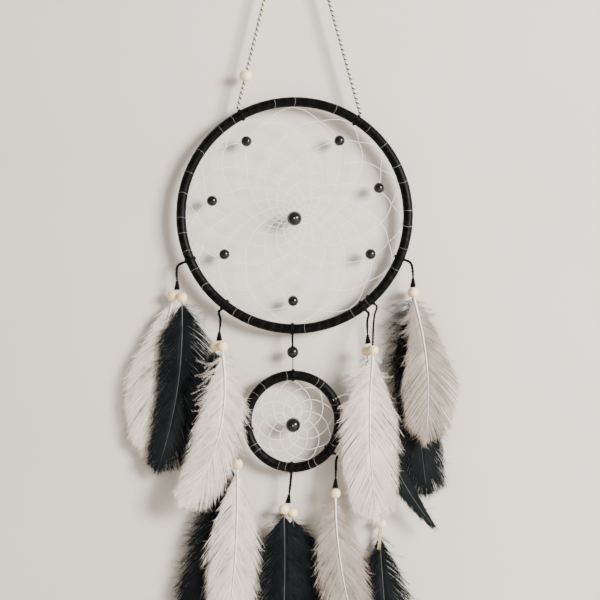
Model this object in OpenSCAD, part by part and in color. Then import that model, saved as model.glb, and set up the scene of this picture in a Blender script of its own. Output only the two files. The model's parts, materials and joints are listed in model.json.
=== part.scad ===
// Dream catcher: a large and a small laced hoop with woven webs, black beads and feather strands.
// Millimetres. The origin is the point where the nail carries the hanging cord. +Z is up,
// -Y is the side that faces the room, and the wall stands behind at +Y.

/* [Hoops] */
// Outer diameter of the large hoop, lace included
large_hoop_d = 160; // [140:1:200]
// Outer diameter of the small hoop, lace included
small_hoop_d = 69; // [56:1:84]
// Thickness of a hoop's tube, lace included
hoop_tube_d = 6.8; // [5.6:0.2:8.4]
// Diameter of the metal ring inside the lace
hoop_core_d = 3.4; // [2.8:0.1:4.2]
// Height from the centre of the large hoop up to the nail
nail_height = 236.5; // [190:0.5:290]
// Gap between the two hoops, down which the link cord runs
hoop_gap = 24.5; // [22:0.5:32]
// How far the small hoop hangs to the left of the nail
small_hoop_shift = 1; // [0:0.5:3]

/* [Webs] */
// Diameter of the web's thread
web_thread_d = 0.5; // [0.4:0.05:0.6]
// Rows of thread in the large web
large_web_rows = 11; // [8:1:11]
// Rows of thread in the small web
small_web_rows = 5; // [4:1:6]
// Thread ties round the small hoop
small_web_ties = 9; // [7:1:11]
// Diameter of the thread in each tie round a hoop
tie_thread_d = 0.6; // [0.4:0.1:0.8]

/* [Beads] */
// Diameter of the small black beads on the large web
web_bead_d = 7.2; // [6:0.1:8.4]
// Diameter of the black bead at the centre of each web
centre_bead_d = 10; // [8:0.5:12]
// Diameter of the black bead between the hoops
link_bead_d = 8; // [7:0.1:9]
// Diameter of the wooden beads on the strands
wood_bead_d = 7.2; // [6:0.1:8.8]
// Diameter of the wooden bead on the hanging cord
hanger_bead_d = 8.6; // [7:0.1:10]
// Length of the wooden bead on the hanging cord
hanger_bead_len = 7; // [5.6:0.1:8]

/* [Cords] */
// Diameter of the twisted hanging cord
hanger_cord_d = 2.4; // [2:0.1:2.8]
// Diameter of the knot above the two hanging strands
hanger_knot_d = 8; // [7:0.1:9]
// Diameter of the lace that carries a strand
lace_d = 1.6; // [1.2:0.1:2]
// Diameter of the link cord between the hoops
link_cord_d = 1.8; // [1.4:0.1:2]

/* [Feathers] */
// Thickness of a feather's vane
vane_t = 0.9; // [0.7:0.05:0.9]
// Half the width of a broad feather
broad_half_w = 19; // [16:0.5:21]
// Half the width of a slim feather
slim_half_w = 14; // [12:0.5:16]
// Diameter of a feather's quill below its bead
quill_d = 1.2; // [1:0.1:1.3]

/* [Clearances] */
// Clearance round a core inside its lace
core_gap = 0.1; // [0.05:0.05:0.2]
// Clearance round a cord in a bead's bore
bore_gap = 0.3; // [0.2:0.05:0.4]
// Clearance between a lace loop and the thread ties round its hoop
loop_gap = 0.15; // [0.1:0.05:0.25]
// Clearance between beads that hang side by side
bead_gap = 0.3; // [0.2:0.1:0.5]
// Distance between a strand's cord and the loop it hangs from
hang_gap = 0.3; // [0.2:0.1:0.5]

/* [Hidden] */
$fn = 48;

// hoop centre lines, in the hoops' own plane y = 0
tube_r = hoop_tube_d / 2;
large_r = large_hoop_d / 2 - tube_r;
small_r = small_hoop_d / 2 - tube_r;
large_z = -nail_height;
small_z = large_z - large_hoop_d / 2 - hoop_gap - small_hoop_d / 2;
small_x = -small_hoop_shift;
lace_wall = tube_r - hoop_core_d / 2 - core_gap;

// Where the web is tied to the large hoop, degrees round from +X. Every other tie has a bead
// on its spoke of the web, near the second row of knots.
large_tie_angles = [18, 38.5, 59, 91, 123, 146.5, 170, 189.5, 209, 239, 269, 301, 333, 355.5];
bead_spoke_step = 2;
bead_row = 2;
// How far each of those beads has slipped outwards from its knot
web_bead_slips = [1.6, 0.5, 1.3, -1.8, -4.2, -0.6, -0.8];
// How far below the centre of its hoop each web's middle bead hangs
large_bead_drop = 2.1;
small_bead_drop = 2.5;
small_first_tie = 13;
small_tie_angles = [for (i = [0:small_web_ties - 1]) small_first_tie + 360 / small_web_ties * i];
// The first two rows of a web step in by this share of its rim, and each later row reaches
// this share of the row outside it
large_rim_step = 0.1;
large_row_share = 0.78;
small_rim_step = 0.15;
small_row_share = 0.72;
web_reach = 0.32;
// How far from its middle a centre bead holds the last row of its web
web_hub_r = centre_bead_d / 2 - 2 * web_thread_d;
large_rim = large_r - tube_r - web_reach;
small_rim = small_r - tube_r - web_reach;

// Where the strands hang, degrees round each hoop from +X
outer_left_angle = 203;
inner_left_angle = 232;
link_angle = 269;
inner_right_angle = 307;
long_right_angle = 312;
outer_right_angle = 338;
small_left_angle = 190;
small_bottom_angle = 268;
small_right_angle = 322;
hanger_left_angle = 118;
hanger_right_angle = 57;

loop_r = tube_r + tie_thread_d / 2 + loop_gap + lace_d / 2;
// A strand starts this far outside the centre line of the hoop that it hangs from
strand_drop = loop_r + lace_d + hang_gap;

// Planes of the vanes, from the front of the hoops to the back. Each strand has planes of
// its own, so that neighbours pass each other when they swing.
plane_1 = -11.2;
plane_2 = -10.2;
plane_3 = -6.1;
plane_4 = -4.8;
plane_5 = -1.7;
plane_6 = -0.4;
plane_7 = 0.85;
plane_8 = 2.1;
plane_9 = 3.1;
plane_10 = 4.2;

// Route of the hanging cord between its two ends on the hoop: up the left strand, over the
// nail and down the right strand
hanger_middle = [
  [-4, 0, -24], [-2.2, 0, -19], [-1.4, 0, -15], [-1.5, 0, -11], [-2.4, 0, -6], [-2.6, 0, -3],
  [-1.9, 0, -0.6], [0, 0, 1.2], [1.9, 0, -0.6], [2.6, 0, -3], [2.4, 0, -6], [1.5, 0, -11],
  [1.4, 0, -15], [2.4, 0, -19], [4.4, 0, -24]
];
hanger_knot_z = -14.5;
// How far the wooden bead sits above the left end of the hanging cord
hanger_bead_rise = 22;

// ---- small helpers ----

function polar(r, a) = [r * cos(a), r * sin(a)];
function at_large(r, a) = [r * cos(a), 0, large_z + r * sin(a)];
function at_small(r, a) = [small_x + r * cos(a), 0, small_z + r * sin(a)];
function unit(v) = v / max(norm(v), 0.000001);
function mix(a, b, t) = a + (b - a) * t;

// A straight run from a to b in n steps, without b
function run(a, b, n) = [for (i = [0:n - 1]) mix(a, b, i / n)];

// Direction of travel at point i of a route
function heading(p, i, closed) =
  let (n = len(p))
  closed ? unit(p[(i + 1) % n] - p[(i + n - 1) % n])
         : unit(p[min(i + 1, n - 1)] - p[max(i - 1, 0)]);

// A tube swept along route p. Its side direction stays close to the Y axis, because every
// route in this model lies near a plane y = constant.
module sweep(p, d, sides = 8, closed = false) {
  n = len(p);
  pts = [for (i = [0:n - 1])
    let (t = heading(p, i, closed), u = unit(cross(t, [0, 1, 0])), v = cross(u, t))
    for (k = [0:sides - 1])
      p[i] + d / 2 * (cos(360 * k / sides) * u + sin(360 * k / sides) * v)];
  last = closed ? n - 1 : n - 2;
  walls = [for (i = [0:last], k = [0:sides - 1])
    let (a = i * sides, b = ((i + 1) % n) * sides, k2 = (k + 1) % sides)
    [a + k, b + k, b + k2, a + k2]];
  caps = closed ? [] : [
    [for (k = [0:sides - 1]) k],
    [for (k = [sides - 1:-1:0]) (n - 1) * sides + k]
  ];
  polyhedron(points = pts, faces = concat(walls, caps), convexity = 10);
}

module ring(r, d) {
  rotate([90, 0, 0]) rotate_extrude() translate([r, 0]) circle(d = d, $fn = 32);
}

// A ring that goes round a hoop's tube at one angle
module tie_ring(r, angle, ring_r, d) {
  rotate([0, -angle, 0]) translate([r, 0, 0])
    rotate_extrude() translate([ring_r, 0]) circle(d = d, $fn = 16);
}

// A bead with a bore along its own Z axis
module bored_bead(d, bore_d) {
  difference() {
    sphere(d = d);
    cylinder(d = bore_d, h = 2 * d, center = true);
  }
}

// A turned wooden bead: a ball with its two ends faced flat round the bore
module wood_bead(d, len, bore_d) {
  difference() {
    intersection() {
      sphere(d = d);
      cube([2 * d, 2 * d, len], center = true);
    }
    cylinder(d = bore_d, h = 2 * d, center = true);
  }
}

// ---- webs ----

// Angle of knot i in row k: each row is knotted half way along the row outside it
function knot_angle(angles, k, i) =
  let (n = len(angles), a = angles[i % n] + 360 * floor(i / n),
       b = angles[(i + 1) % n] + 360 * floor((i + 1) / n))
  k % 2 == 0 ? a : (a + b) / 2;

function row_r(rim, rim_step, share, k) =
  rim * (1 - rim_step * min(k, 2)) * pow(share, max(k - 2, 0));

// One row of thread: out to its own knots and in to the knots of the next row. The last row
// is drawn in to the middle bead, and the rows sag towards the bead by up to drop.
function web_row(angles, rim, rim_step, share, k, rows, drop) =
  let (y = (k % 2 == 0 ? 1 : -1) * (web_thread_d / 2 + 0.03))
  [for (i = [0:len(angles) - 1], side = [0, 1])
    let (shift = k % 2 == 0 ? 0 : side,
         a = knot_angle(angles, k + side, i + shift),
         r = k + side == rows ? web_hub_r : row_r(rim, rim_step, share, k + side),
         q = polar(r, a))
    [q[0], y, q[1] - drop * (1 - r / rim)]];

module web(angles, rim, rim_step, share, rows, drop) {
  for (k = [0:rows - 1])
    sweep(web_row(angles, rim, rim_step, share, k, rows, drop), web_thread_d, 4, true);
}

// ---- hanging cord ----

hanger_end_r = large_r + tube_r + tie_thread_d / 2 + loop_gap + hanger_cord_d / 2;
hanger_left_end = at_large(hanger_end_r, hanger_left_angle);
hanger_right_end = at_large(hanger_end_r, hanger_right_angle);
hanger_route = concat(
  run(hanger_left_end, hanger_middle[0], 12), hanger_middle,
  run(hanger_middle[len(hanger_middle) - 1], hanger_right_end, 12),
  [hanger_right_end]);

module hanger_cord() {
  color("wheat") sweep(hanger_route, hanger_cord_d);
}

module hanger_knot() {
  color("wheat") translate([0, 0, hanger_knot_z]) sphere(d = hanger_knot_d);
}

module hanger_bead() {
  share = hanger_bead_rise / (hanger_middle[0][2] - hanger_left_end[2]);
  place = mix(hanger_left_end, hanger_middle[0], share);
  lean = hanger_middle[0] - hanger_left_end;
  color("antiquewhite") translate(place) rotate([0, atan2(lean[0], lean[2]), 0])
    wood_bead(hanger_bead_d, hanger_bead_len, hanger_cord_d + 2 * bore_gap);
}

// ---- large hoop ----

module hoop_core(r) {
  color("silver") ring(r, hoop_core_d);
}

module hoop_lace(r) {
  color("#1c1c1e") rotate([90, 0, 0]) rotate_extrude() translate([r, 0]) difference() {
    circle(d = hoop_tube_d, $fn = 48);
    circle(d = hoop_tube_d - 2 * lace_wall, $fn = 48);
  }
}

module hoop_ties(r, angles) {
  color("white") for (a = angles) tie_ring(r, a, tube_r, tie_thread_d);
}

module large_hoop_core() { translate([0, 0, large_z]) hoop_core(large_r); }
module large_hoop_lace() { translate([0, 0, large_z]) hoop_lace(large_r); }
module large_web_ties() { translate([0, 0, large_z]) hoop_ties(large_r, large_tie_angles); }

module large_web() {
  color("white") translate([0, 0, large_z])
    web(large_tie_angles, large_rim, large_rim_step, large_row_share, large_web_rows, large_bead_drop);
}

module web_bead(n) {
  angle = large_tie_angles[bead_spoke_step * (n - 1)];
  place = row_r(large_rim, large_rim_step, large_row_share, bead_row) + web_bead_slips[n - 1];
  color("#101012") translate(at_large(place, angle))
    rotate([0, -angle, 0]) bored_bead(web_bead_d, 2 * web_thread_d);
}

module large_centre_bead() {
  color("#101012") translate([0, 0, large_z - large_bead_drop]) rotate([90, 0, 0])
    bored_bead(centre_bead_d, 2 * web_thread_d);
}

module large_lace_loops() {
  color("#1c1c1e") translate([0, 0, large_z])
    for (a = [outer_left_angle, inner_left_angle, link_angle, inner_right_angle,
              long_right_angle, outer_right_angle])
      tie_ring(large_r, a, loop_r, lace_d);
}

// ---- link ----

link_top = at_large(large_r + strand_drop, link_angle);
link_bottom = at_small(small_r + strand_drop, 90);
link_bead_place = mix(link_top, link_bottom, 0.5);

module link_cord() {
  color("#1c1c1e") sweep(concat(run(link_top, link_bottom, 4), [link_bottom]), link_cord_d);
}

module link_bead() {
  color("#101012") translate(link_bead_place) bored_bead(link_bead_d, link_cord_d + 2 * bore_gap);
}

// ---- small hoop ----

module small_hoop_core() { translate([small_x, 0, small_z]) hoop_core(small_r); }
module small_hoop_lace() { translate([small_x, 0, small_z]) hoop_lace(small_r); }
module small_web_ties() {
  translate([small_x, 0, small_z]) hoop_ties(small_r, small_tie_angles);
}

module small_web() {
  color("white") translate([small_x, 0, small_z])
    web(small_tie_angles, small_rim, small_rim_step, small_row_share, small_web_rows, small_bead_drop);
}

module small_centre_bead() {
  color("#101012") translate([small_x, 0, small_z - small_bead_drop]) rotate([90, 0, 0])
    bored_bead(centre_bead_d, 2 * web_thread_d);
}

module small_lace_loops() {
  color("#1c1c1e") translate([small_x, 0, small_z])
    for (a = [90, small_left_angle, small_bottom_angle, small_right_angle])
      tie_ring(small_r, a, loop_r, lace_d);
}

// ---- strands ----

// Where a strand starts, just outside its loop
function large_start(angle) = at_large(large_r + strand_drop, angle);
function small_start(angle) = at_small(small_r + strand_drop, angle);

// A point that lies x across and z up from where a strand starts, in the plane y
function from(start, x, y, z) = [start[0] + x, y, start[2] + z];
// The same for each step of a strand's route, which begins at its start
function hang(start, steps) = concat([start], [for (p = steps) from(start, p[0], p[1], p[2])]);

// A bead's bore takes the quill or the lace with room to spare
bead_bore_d = max(lace_d, quill_d) + 2 * bore_gap;
bead_len = 0.9 * wood_bead_d;

// A second bead, in its own plane y, close beside the bead at place p: side is -1 or 1
function beside(p, y, side, drop = 0) =
  let (apart = wood_bead_d + bead_gap, dy = y - p[1])
  [p[0] + side * sqrt(max(0, apart * apart - dy * dy - drop * drop)), y, p[2] - drop];

module strand_bead(place) {
  color("antiquewhite") translate(place) wood_bead(wood_bead_d, bead_len, bead_bore_d);
}

// The lace of a strand: from under its loop, through chosen points, to just above its bead
module strand_cord(route) {
  color("#1c1c1e") sweep(route, lace_d);
}

// Outline of a vane about its shaft: a quadratic curve through base, middle and tip
function shaft_point(base, mid, tip, t) =
  let (c = 2 * mid - (base + tip) / 2)
  (1 - t) * (1 - t) * base + 2 * t * (1 - t) * c + t * t * tip;
function shaft_side(base, mid, tip, t) =
  let (c = 2 * mid - (base + tip) / 2,
       d = unit((1 - t) * (c - base) + t * (tip - c)))
  [-d[1], d[0]];
// Half width along the vane: a bare quill, a quick swell, then a round tip
function vane_share(t) =
  t < 0.06 ? 0 : pow(sin(180 * pow((t - 0.06) / 0.94, 0.72)), 0.6);

vane_steps = 14;
module vane(base, mid, tip, left_w, right_w) {
  ts = [for (i = [0:vane_steps]) i / vane_steps];
  one = [for (t = ts)
    shaft_point(base, mid, tip, t)
    - (quill_d / 2 + left_w * vane_share(t)) * shaft_side(base, mid, tip, t)];
  other = [for (i = [vane_steps:-1:0])
    shaft_point(base, mid, tip, ts[i])
    + (quill_d / 2 + right_w * vane_share(ts[i])) * shaft_side(base, mid, tip, ts[i])];
  polygon(concat(one, other));
}

// A feather lies in the plane y. Its middle and tip are given in X and Z from its strand's start.
module feather(start, y, base, mid, tip, left_w, right_w) {
  place = [start[0], start[2]];
  translate([0, y + vane_t / 2, 0]) rotate([90, 0, 0]) linear_extrude(vane_t)
    vane(base, place + mid, place + tip, left_w, right_w);
}

// Base of a feather, just under the bead at place p
function below_bead(p) = [p[0], p[2] - bead_len / 2 - 0.3];
// End of a lace, just above the bead at place p
function above_bead(p) = p + [0, 0, bead_len / 2 + 0.3];

white = "#d8d2c8";
black = "#1b2022";

// outer left strand
outer_left_start = large_start(outer_left_angle);
outer_left_white_bead = from(outer_left_start, -6, plane_9, -22);
outer_left_black_bead = beside(outer_left_white_bead, plane_6, 1, 1);
outer_left_route = hang(outer_left_start, [
  [-2.5, 0.4, -2], [-3.1, 0.8, -7], [-2.8, 1.2, -12], [-2.8, 1.3, -16]
]);
module outer_left_cord() { strand_cord(outer_left_route); }
module outer_left_beads() {
  strand_bead(outer_left_white_bead);
  strand_bead(outer_left_black_bead);
}
module outer_left_white_feather() {
  color(white) feather(outer_left_start, plane_9, below_bead(outer_left_white_bead),
    [-17.5, -76], [-24.5, -130], slim_half_w, slim_half_w);
}
module outer_left_black_feather() {
  color(black) feather(outer_left_start, plane_6, below_bead(outer_left_black_bead),
    [-2.5, -85], [-16.5, -141], slim_half_w, broad_half_w);
}

// inner left strand
inner_left_start = large_start(inner_left_angle);
inner_left_white_bead = from(inner_left_start, 3.2, plane_2, -22.7);
inner_left_black_bead = beside(inner_left_white_bead, plane_4, -1);
inner_left_route = hang(inner_left_start, [
  [1.2, -2, -4], [1.2, -4.5, -9], [0.6, -7, -16]
]);
module inner_left_cord() { strand_cord(inner_left_route); }
module inner_left_beads() {
  strand_bead(inner_left_white_bead);
  strand_bead(inner_left_black_bead);
}
module inner_left_white_feather() {
  color(white) feather(inner_left_start, plane_2, below_bead(inner_left_white_bead),
    [0.2, -84], [-26.8, -130], broad_half_w, slim_half_w);
}
module inner_left_black_feather() {
  color(black) feather(inner_left_start, plane_4, below_bead(inner_left_black_bead),
    [-6.8, -57], [-10.8, -88], slim_half_w, slim_half_w);
}

// inner right strand
inner_right_start = large_start(inner_right_angle);
inner_right_white_bead = from(inner_right_start, 2.5, plane_1, -24.1);
inner_right_black_bead = beside(inner_right_white_bead, plane_4, -1, 0.7);
inner_right_route = hang(inner_right_start, [
  [-1, -2, -4.1], [-1.2, -5, -10.1], [-1, -7.8, -17.1]
]);
module inner_right_cord() { strand_cord(inner_right_route); }
module inner_right_beads() {
  strand_bead(inner_right_white_bead);
  strand_bead(inner_right_black_bead);
}
module inner_right_white_feather() {
  color(white) feather(inner_right_start, plane_1, below_bead(inner_right_white_bead),
    [0.5, -85.1], [6, -139.1], broad_half_w, broad_half_w);
}
module inner_right_black_feather() {
  color(black) feather(inner_right_start, plane_4, below_bead(inner_right_black_bead),
    [13, -92.1], [48, -148.1], slim_half_w, slim_half_w);
}

// long right strand, behind the inner right one
long_right_start = large_start(long_right_angle);
long_right_bead_place = from(long_right_start, 2.8, plane_10, -146.5);
long_right_stub_len = 13;
long_right_route = concat(hang(long_right_start, [
  [-1.6, 1.2, -5.7], [-2.3, 2.8, -13.7], [-2.6, 3.8, -25.7], [-2.4, plane_10, -41.7],
  [-1.6, plane_10, -61.7], [-0.4, plane_10, -81.7], [0.8, plane_10, -101.7],
  [2, plane_10, -121.7], [2.6, plane_10, -133.7]
]), [above_bead(long_right_bead_place)]);
module long_right_cord() { strand_cord(long_right_route); }
module long_right_bead() { strand_bead(long_right_bead_place); }
module long_right_fray() {
  place = below_bead(long_right_bead_place);
  color("tan") translate([place[0], plane_10, place[1] - long_right_stub_len])
    cylinder(d1 = 3.6, d2 = 2, h = long_right_stub_len, $fn = 32);
}
module long_right_black_feather() {
  place = below_bead(long_right_bead_place);
  color(black) feather(long_right_start, plane_10, [place[0] - 1, place[1] - long_right_stub_len - 0.4],
    [6.4, -213.7], [11.4, -261.7], slim_half_w, slim_half_w);
}

// outer right strand
outer_right_start = large_start(outer_right_angle);
outer_right_white_bead = from(outer_right_start, 2.9, plane_3, -20.9);
outer_right_black_bead = beside(outer_right_white_bead, plane_8, -1);
outer_right_route = hang(outer_right_start, [
  [1.7, -0.6, -1.9], [2.5, -1.2, -5.9], [2.7, -1.8, -10.4], [2.6, -2, -14.9]
]);
module outer_right_cord() { strand_cord(outer_right_route); }
module outer_right_beads() {
  strand_bead(outer_right_white_bead);
  strand_bead(outer_right_black_bead);
}
module outer_right_white_feather() {
  color(white) feather(outer_right_start, plane_3, below_bead(outer_right_white_bead),
    [11.9, -71.4], [10.9, -118.4], broad_half_w, broad_half_w);
}
module outer_right_black_feather() {
  color(black) feather(outer_right_start, plane_8, below_bead(outer_right_black_bead),
    [5.9, -93.4], [12.9, -159.4], slim_half_w, slim_half_w);
}

// small hoop's left strand
small_left_start = small_start(small_left_angle);
small_left_white_bead = from(small_left_start, -0.2, plane_3, -21.6);
small_left_black_bead = beside(small_left_white_bead, plane_7, -1);
small_left_route = hang(small_left_start, [
  [-0.6, -0.8, -4.5], [-0.8, -2, -10], [-1.1, -2.6, -15]
]);
module small_left_cord() { strand_cord(small_left_route); }
module small_left_beads() {
  strand_bead(small_left_white_bead);
  strand_bead(small_left_black_bead);
}
module small_left_white_feather() {
  color(white) feather(small_left_start, plane_3, below_bead(small_left_white_bead),
    [-1.9, -87], [-8.9, -147], broad_half_w, slim_half_w);
}
module small_left_black_feather() {
  color(black) feather(small_left_start, plane_7, below_bead(small_left_black_bead),
    [-17.9, -82], [-31.9, -140], slim_half_w, slim_half_w);
}

// small hoop's bottom strand
small_bottom_start = small_start(small_bottom_angle);
small_bottom_front_bead = from(small_bottom_start, -4.8, plane_5, -21.4);
small_bottom_back_bead = beside(small_bottom_front_bead, plane_8, 1, 3);
small_bottom_route = hang(small_bottom_start, [
  [-0.5, 0.2, -4.9], [-1.1, 0.2, -9.9], [-1.5, 0.2, -15.4]
]);
module small_bottom_cord() { strand_cord(small_bottom_route); }
module small_bottom_beads() {
  strand_bead(small_bottom_front_bead);
  strand_bead(small_bottom_back_bead);
}
module small_bottom_front_feather() {
  color(black) feather(small_bottom_start, plane_5, below_bead(small_bottom_front_bead),
    [-4.7, -82.9], [-8.7, -139.9], slim_half_w, slim_half_w);
}
module small_bottom_back_feather() {
  color(black) feather(small_bottom_start, plane_8, below_bead(small_bottom_back_bead),
    [8.3, -85.9], [14.3, -142.9], slim_half_w, slim_half_w);
}

// small hoop's right strand
small_right_start = small_start(small_right_angle);
small_right_bead_place = from(small_right_start, -1.2, plane_3, -24.5);
small_right_route = concat(hang(small_right_start, [
  [-0.7, -1.2, -4.3], [-0.9, -3.6, -10.3], [-1.1, plane_3, -16.3]
]), [above_bead(small_right_bead_place)]);
module small_right_cord() { strand_cord(small_right_route); }
module small_right_bead() { strand_bead(small_right_bead_place); }
module small_right_white_feather() {
  color(white) feather(small_right_start, plane_3, below_bead(small_right_bead_place),
    [3.3, -77.3], [16.3, -130.3], slim_half_w, slim_half_w);
}

hanger_cord();
hanger_knot();
hanger_bead();
large_hoop_core();
large_hoop_lace();
large_web_ties();
large_web();
web_bead(1);  // web_bead_1
web_bead(2);  // web_bead_2
web_bead(3);  // web_bead_3
web_bead(4);  // web_bead_4
web_bead(5);  // web_bead_5
web_bead(6);  // web_bead_6
web_bead(7);  // web_bead_7
large_centre_bead();
large_lace_loops();
link_cord();
link_bead();
small_hoop_core();
small_hoop_lace();
small_web_ties();
small_web();
small_centre_bead();
small_lace_loops();
outer_left_cord();
outer_left_beads();
outer_left_white_feather();
outer_left_black_feather();
inner_left_cord();
inner_left_beads();
inner_left_white_feather();
inner_left_black_feather();
inner_right_cord();
inner_right_beads();
inner_right_white_feather();
inner_right_black_feather();
long_right_cord();
long_right_bead();
long_right_fray();
long_right_black_feather();
outer_right_cord();
outer_right_beads();
outer_right_white_feather();
outer_right_black_feather();
small_left_cord();
small_left_beads();
small_left_white_feather();
small_left_black_feather();
small_bottom_cord();
small_bottom_beads();
small_bottom_front_feather();
small_bottom_back_feather();
small_right_cord();
small_right_bead();
small_right_white_feather();
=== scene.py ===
# %% [markdown]
# # A dream catcher with two laced hoops
# The working frame already holds every part at its real size. This lesson dresses that frame:
# lace wound round the hoops, a thread web, beads, twisted cords and feathers built barb by barb.
# We load the frame first, and read each part's box from it.

import json
import math
import random

import bmesh
import bpy
import numpy as np
from mathutils import Matrix, Vector


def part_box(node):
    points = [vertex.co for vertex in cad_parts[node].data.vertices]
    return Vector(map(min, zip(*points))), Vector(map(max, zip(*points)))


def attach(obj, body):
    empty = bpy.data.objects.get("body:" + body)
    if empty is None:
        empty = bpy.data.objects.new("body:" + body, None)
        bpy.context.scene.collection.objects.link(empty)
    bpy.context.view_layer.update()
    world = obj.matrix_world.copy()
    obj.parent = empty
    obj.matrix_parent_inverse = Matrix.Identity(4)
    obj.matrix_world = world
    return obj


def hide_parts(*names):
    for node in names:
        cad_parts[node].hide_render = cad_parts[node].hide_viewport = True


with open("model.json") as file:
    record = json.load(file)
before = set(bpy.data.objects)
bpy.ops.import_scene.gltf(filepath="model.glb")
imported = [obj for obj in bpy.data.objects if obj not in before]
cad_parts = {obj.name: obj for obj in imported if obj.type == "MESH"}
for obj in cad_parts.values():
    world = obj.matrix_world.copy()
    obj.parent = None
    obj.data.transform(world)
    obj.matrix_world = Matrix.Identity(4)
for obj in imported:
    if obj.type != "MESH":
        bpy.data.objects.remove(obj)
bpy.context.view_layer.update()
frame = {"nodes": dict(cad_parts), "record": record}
MM = 0.001
joints = {joint["name"]: joint for joint in frame["record"]["behaviour"]["joints"]}

# %% [markdown]
# The camera looks straight at the wall, at the height of the small hoop's top, through a long
# lens. A long lens keeps the round hoops round, and it leaves the lowest feather tips out.

# %% Camera
camera = bpy.data.objects.new("camera", bpy.data.cameras.new("camera"))
bpy.context.scene.collection.objects.link(camera)
camera.data.lens = 85
camera.data.sensor_width = 36
camera.location = (0.0037, -0.956, -0.2936)
camera.rotation_euler = (math.radians(90), 0, 0)
bpy.context.scene.camera = camera
print("camera at", tuple(round(value, 3) for value in camera.location))

# %% [markdown]
# ## Finishes
# Every finish starts from one Principled shader. A small helper adds nodes to a material, and
# one shared group gives soft patches and a fine grain, which nearly every finish needs in its
# own scale. The group reads Object coordinates, so a pattern stays still on its piece.

# %% Node helpers
def add_node(tree, kind, **inputs):
    node = tree.nodes.new(kind)
    for name, value in inputs.items():
        node.inputs[name.replace("_", " ")].default_value = value
    return node


def make_mottle():
    tree = bpy.data.node_groups.new("mottle", "ShaderNodeTree")
    tree.interface.new_socket("Vector", in_out="INPUT", socket_type="NodeSocketVector")
    tree.interface.new_socket("Scale", in_out="INPUT", socket_type="NodeSocketFloat")
    tree.interface.new_socket("Patches", in_out="OUTPUT", socket_type="NodeSocketFloat")
    tree.interface.new_socket("Grain", in_out="OUTPUT", socket_type="NodeSocketFloat")
    entry = tree.nodes.new("NodeGroupInput")
    leave = tree.nodes.new("NodeGroupOutput")
    patches = add_node(tree, "ShaderNodeTexNoise", Detail=3, Roughness=0.6)
    grain = add_node(tree, "ShaderNodeTexNoise", Detail=2, Roughness=0.7)
    finer = tree.nodes.new("ShaderNodeMath")
    finer.operation = "MULTIPLY"
    finer.inputs[1].default_value = 9
    tree.links.new(entry.outputs["Vector"], patches.inputs["Vector"])
    tree.links.new(entry.outputs["Vector"], grain.inputs["Vector"])
    tree.links.new(entry.outputs["Scale"], patches.inputs["Scale"])
    tree.links.new(entry.outputs["Scale"], finer.inputs[0])
    tree.links.new(finer.outputs[0], grain.inputs["Scale"])
    tree.links.new(patches.outputs[0], leave.inputs["Patches"])
    tree.links.new(grain.outputs[0], leave.inputs["Grain"])
    return tree


mottle = make_mottle()
print("shared group:", mottle.name)

# %% [markdown]
# A finish is a dark colour, a light colour and a mask that mixes them. The mask is the patches of
# the group, or a piece's own attribute where the pattern has to follow the piece: each barb of
# a feather has its own tint, and each turn of the lace knows where its edge is.

# %% Build one finish
def make_finish(name, dark, light, scale, roughness, bump, stretch=(1, 1, 1), attribute=None, **shader):
    material = bpy.data.materials.new(name)
    material.use_nodes = True
    tree = material.node_tree
    surface = tree.nodes["Principled BSDF"]
    for socket, value in shader.items():
        surface.inputs[socket.replace("_", " ")].default_value = value
    place = tree.nodes.new("ShaderNodeTexCoord")
    mapping = add_node(tree, "ShaderNodeMapping", Scale=stretch)
    pattern = tree.nodes.new("ShaderNodeGroup")
    pattern.node_tree = mottle
    pattern.inputs["Scale"].default_value = scale
    tree.links.new(place.outputs["Object"], mapping.inputs["Vector"])
    tree.links.new(mapping.outputs[0], pattern.inputs["Vector"])
    mask = pattern.outputs["Patches"]
    if attribute:
        own = tree.nodes.new("ShaderNodeAttribute")
        own.attribute_name = attribute
        blend = tree.nodes.new("ShaderNodeMath")
        blend.operation = "MULTIPLY_ADD"
        blend.inputs[1].default_value = 0.5
        tree.links.new(pattern.outputs["Patches"], blend.inputs[0])
        half = tree.nodes.new("ShaderNodeMath")
        half.operation = "MULTIPLY"
        half.inputs[1].default_value = 0.75
        tree.links.new(own.outputs["Fac"], half.inputs[0])
        tree.links.new(half.outputs[0], blend.inputs[2])
        mask = blend.outputs[0]
    spread = add_node(tree, "ShaderNodeMapRange", From_Min=0.3, From_Max=0.7)
    colour = tree.nodes.new("ShaderNodeMix")
    colour.data_type = "RGBA"
    colour.inputs[6].default_value = (*dark, 1)
    colour.inputs[7].default_value = (*light, 1)
    tree.links.new(mask, spread.inputs["Value"])
    tree.links.new(spread.outputs[0], colour.inputs[0])
    tree.links.new(colour.outputs[2], surface.inputs["Base Color"])
    rough = add_node(tree, "ShaderNodeMapRange", To_Min=roughness - 0.06, To_Max=roughness + 0.08)
    tree.links.new(pattern.outputs["Grain"], rough.inputs["Value"])
    tree.links.new(rough.outputs[0], surface.inputs["Roughness"])
    relief = add_node(tree, "ShaderNodeBump", Strength=bump, Distance=0.2 * MM)
    tree.links.new(pattern.outputs["Grain"], relief.inputs["Height"])
    tree.links.new(relief.outputs[0], surface.inputs["Normal"])
    return material


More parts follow.
